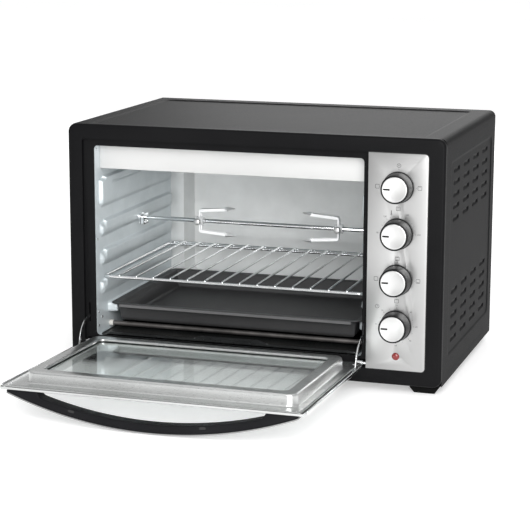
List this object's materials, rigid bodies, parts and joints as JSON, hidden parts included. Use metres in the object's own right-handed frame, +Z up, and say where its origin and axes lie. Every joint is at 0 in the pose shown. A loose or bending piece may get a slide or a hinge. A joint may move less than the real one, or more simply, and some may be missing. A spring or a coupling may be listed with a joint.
{
  "type": "rotisserie oven",
  "caption": "Countertop rotisserie oven with a drop-down glass door, front dials, wire rack, baking tray, crumb tray and a spit with forks.",
  "frame": {"origin": "middle of the plan of the oven with its door open, on the surface it stands on", "axes": "+Z up; -Y towards the user, the way the door opens; +X to the user's right"},
  "size_m": [0.526, 0.6496, 0.341],
  "materials": {
    "frame_black": "satin",
    "body_black": "semi-gloss",
    "handle_black": "satin",
    "brushed_steel": "brushed",
    "pressed_steel": "satin",
    "plated_steel": "plated",
    "chrome": "polished",
    "knob_black": "satin",
    "knob_silver": "satin",
    "dark_enamel": "satin enamel",
    "window_glass": "clear",
    "silicone": "matte",
    "rubber": "matte",
    "lamp_red": "gloss",
    "heater_steel": "oxidised",
    "switch_plastic": "moulded"
  },
  "bodies": {
    "cabinet": {"base_pan": "body_black", "cavity_back": "plated_steel", "cavity_ceiling": "plated_steel", "cavity_floor": "plated_steel", "cavity_header": "brushed_steel", "cavity_left_wall": "plated_steel", "cavity_right_wall": "plated_steel", "control_panel": "brushed_steel", "cord_gland": "rubber", "foot_front_left": "rubber", "foot_front_right": "rubber", "foot_rear_left": "rubber", "foot_rear_right": "rubber", "front_frame": "frame_black", "function_switch": "switch_plastic", "heat_switch": "switch_plastic", "heater_lower_front": "heater_steel", "heater_lower_rear": "heater_steel", "heater_upper_front": "heater_steel", "heater_upper_rear": "heater_steel", "hinge_pin_left": "chrome", "hinge_pin_right": "chrome", "lamp_lens": "lamp_red", "outer_wrap": "body_black", "rear_cover": "body_black", "spit_bearing": "chrome", "spit_motor": "plated_steel", "thermostat_switch": "switch_plastic", "timer_unit": "plated_steel"},
    "door": {"door_pan": "pressed_steel", "door_liner": "pressed_steel", "glass_gasket": "silicone", "window_glass": "window_glass", "side_trim_left": "chrome", "side_trim_right": "chrome", "handle_grip": "handle_black", "handle_trim": "brushed_steel", "hinge_arm_left": "chrome", "hinge_arm_right": "chrome"},
    "spit": {"spit_rod": "chrome", "drive_socket": "chrome"},
    "fork_left_body": {"fork_left": "chrome"},
    "fork_right_body": {"fork_right": "chrome"},
    "screw_left_body": {"thumb_screw_left": "chrome"},
    "screw_right_body": {"thumb_screw_right": "chrome"},
    "rack": {"wire_rack": "chrome"},
    "tray": {"baking_tray": "dark_enamel"},
    "crumbs": {"crumb_tray": "plated_steel"},
    "function_dial": {"shaft_function": "plated_steel", "knob_function": "knob_black", "knob_cap_function": "knob_silver"},
    "thermostat_dial": {"shaft_thermostat": "plated_steel", "knob_thermostat": "knob_black", "knob_cap_thermostat": "knob_silver"},
    "heat_dial": {"shaft_heat": "plated_steel", "knob_heat": "knob_black", "knob_cap_heat": "knob_silver"},
    "timer_dial": {"shaft_timer": "plated_steel", "knob_timer": "knob_black", "knob_cap_timer": "knob_silver"}
  },
  "joints": [
    {"name": "door_hinge", "type": "hinge", "parent": "cabinet", "child": "door", "pos_m": [0, -0.04137, 0.037], "axis": [-1, 0, 0], "range_deg": [0, 88.6]},
    {"name": "rack_slide", "type": "slide", "parent": "cabinet", "child": "rack", "axis": [0, 1, 0], "range_m": [-0.2, 0]},
    {"name": "tray_slide", "type": "slide", "parent": "cabinet", "child": "tray", "axis": [0, 1, 0], "range_m": [-0.17, 0]},
    {"name": "crumb_slide", "type": "slide", "parent": "cabinet", "child": "crumbs", "axis": [0, 1, 0], "range_m": [-0.035, 0]},
    {"name": "spit_spin", "type": "hinge", "parent": "cabinet", "child": "spit", "pos_m": [0, 0.11663, 0.18605], "axis": [1, 0, 0], "continuous": true},
    {"name": "fork_left_slide", "type": "slide", "parent": "spit", "child": "fork_left_body", "axis": [1, 0, 0], "range_m": [-0.06, 0.045]},
    {"name": "fork_right_slide", "type": "slide", "parent": "spit", "child": "fork_right_body", "axis": [1, 0, 0], "range_m": [-0.045, 0.05]},
    {"name": "screw_left_turn", "type": "hinge", "parent": "fork_left_body", "child": "screw_left_body", "pos_m": [-0.13, 0.10463, 0.18605], "axis": [0, -1, 0], "range_deg": [0, 360]},
    {"name": "screw_right_turn", "type": "hinge", "parent": "fork_right_body", "child": "screw_right_body", "pos_m": [0.0785, 0.10463, 0.18605], "axis": [0, -1, 0], "range_deg": [0, 360]},
    {"name": "function_turn", "type": "hinge", "parent": "cabinet", "child": "function_dial", "pos_m": [0.202, -0.05537, 0.2765], "axis": [0, 1, 0], "range_deg": [0, 270]},
    {"name": "thermostat_turn", "type": "hinge", "parent": "cabinet", "child": "thermostat_dial", "pos_m": [0.202, -0.05537, 0.2152], "axis": [0, 1, 0], "range_deg": [0, 180]},
    {"name": "heat_turn", "type": "hinge", "parent": "cabinet", "child": "heat_dial", "pos_m": [0.202, -0.05537, 0.1539], "axis": [0, 1, 0], "range_deg": [0, 270]},
    {"name": "timer_turn", "type": "hinge", "parent": "cabinet", "child": "timer_dial", "pos_m": [0.202, -0.05537, 0.0926], "axis": [0, 1, 0], "range_deg": [0, 270]}
  ]
}
